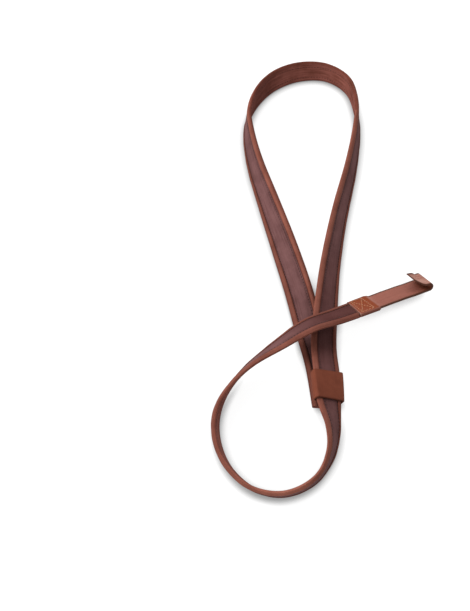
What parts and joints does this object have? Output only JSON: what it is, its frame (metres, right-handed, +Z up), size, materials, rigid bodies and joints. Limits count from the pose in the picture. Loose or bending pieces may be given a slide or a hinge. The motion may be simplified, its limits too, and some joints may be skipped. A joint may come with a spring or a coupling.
{
  "type": "ukulele strap",
  "caption": "Slim leather ukulele strap lying in a crossed lay: neck loop, sliding keeper, lower loop and a folded leather hook for the sound hole.",
  "frame": {"origin": "on the table, under the middle of the lay's bounding box", "axes": "+Z up from the table, +Y towards the neck loop's far end, +X towards the hook"},
  "size_m": [0.1551, 0.3804, 0.0269],
  "materials": {
    "edge_leather": "smooth tan leather, folded and lightly waxed",
    "inlay_leather": "soft burgundy leather with a fine grain",
    "keeper_leather": "plain brown leather, slightly rubbed",
    "tab_leather": "smooth pinkish brown leather with dark painted edges"
  },
  "bodies": {
    "root": {"strap_backing": "edge_leather", "strap_inlay": "inlay_leather", "keeper": "keeper_leather", "hook_tab": "tab_leather"}
  },
  "joints": []
}
